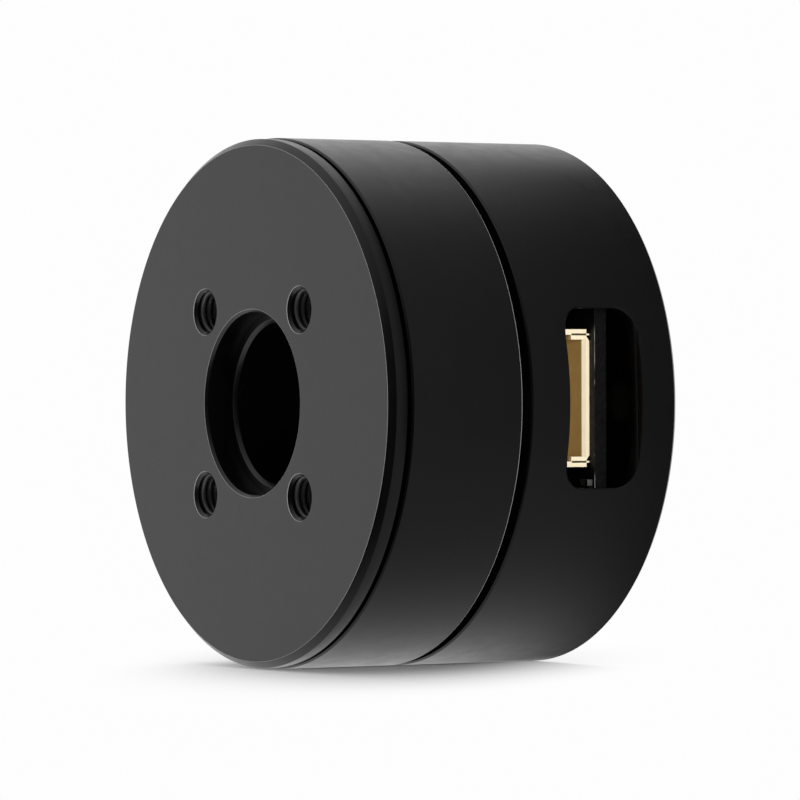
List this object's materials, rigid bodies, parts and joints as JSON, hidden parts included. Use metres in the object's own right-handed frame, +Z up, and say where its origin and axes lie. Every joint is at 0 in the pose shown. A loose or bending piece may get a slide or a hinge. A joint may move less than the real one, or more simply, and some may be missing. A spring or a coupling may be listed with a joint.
{
  "type": "robot joint actuator",
  "caption": "Hollow-shaft direct-drive robot joint actuator: a short black cylinder with a turning output face, threaded holes and a wire connector in a side window.",
  "frame": {"origin": "centre of the output face, on the output axis", "axes": "-Y out of the output face, +Y out of the rear mounting face, +X out of the connector window, +Z up"},
  "size_m": [0.038, 0.0238, 0.038],
  "materials": {
    "black_anodised_aluminium": "black anodised, satin",
    "black_steel": "black oxide",
    "spring_steel": "ground",
    "bearing_steel": "polished",
    "cage_nylon": "moulded nylon",
    "lamination_steel": "stacked laminations",
    "insulator_film": "moulded",
    "enamelled_copper": "enamelled copper winding",
    "tinned_copper": "tinned copper",
    "board_laminate": "black solder mask",
    "cream_nylon": "cream moulded nylon",
    "plated_contact": "plated contact metal",
    "chip_epoxy": "moulded epoxy",
    "ceramic": "ceramic",
    "flux_steel": "turned steel",
    "nickel_plate": "nickel plated magnet"
  },
  "bodies": {
    "housing": {"rear_housing": "black_anodised_aluminium", "base_plate": "black_anodised_aluminium", "cover_screws": "black_steel", "front_bearing_outer_race": "bearing_steel", "rear_bearing_outer_race": "bearing_steel", "preload_washer": "spring_steel", "stator_core": "lamination_steel", "front_insulator": "insulator_film", "rear_insulator": "insulator_film", "coils_phase_u": "enamelled_copper", "coils_phase_v": "enamelled_copper", "coils_phase_w": "enamelled_copper", "phase_leads": "tinned_copper", "driver_board": "board_laminate", "wire_connector": "cream_nylon", "connector_pins": "plated_contact", "connector_tabs": "plated_contact", "controller_chip": "chip_epoxy", "gate_driver_chip": "chip_epoxy", "encoder_chip": "chip_epoxy", "power_switches": "chip_epoxy", "bus_capacitors": "ceramic", "edge_capacitor": "ceramic"},
    "rotor": {"output_cap": "black_anodised_aluminium", "rotor_shell": "black_anodised_aluminium", "flux_ring": "flux_steel", "magnets_north": "nickel_plate", "magnets_south": "nickel_plate", "hollow_shaft": "black_anodised_aluminium", "retaining_ring": "spring_steel", "encoder_magnet": "nickel_plate", "front_bearing_inner_race": "bearing_steel", "rear_bearing_inner_race": "bearing_steel"},
    "ball_sets": {"front_bearing_balls": "bearing_steel", "front_bearing_cage": "cage_nylon", "rear_bearing_balls": "bearing_steel", "rear_bearing_cage": "cage_nylon"}
  },
  "joints": [
    {"name": "output_spin", "type": "hinge", "parent": "housing", "child": "rotor", "pos_m": [0, 0, 0], "axis": [0, 1, 0], "continuous": true},
    {"name": "ball_sets_spin", "type": "hinge", "parent": "housing", "child": "ball_sets", "pos_m": [0, 0, 0], "axis": [0, 1, 0], "continuous": true}
  ],
  "couplings": [
    {"joint": "ball_sets_spin", "follows": "output_spin", "ratio": 0.4444}
  ]
}
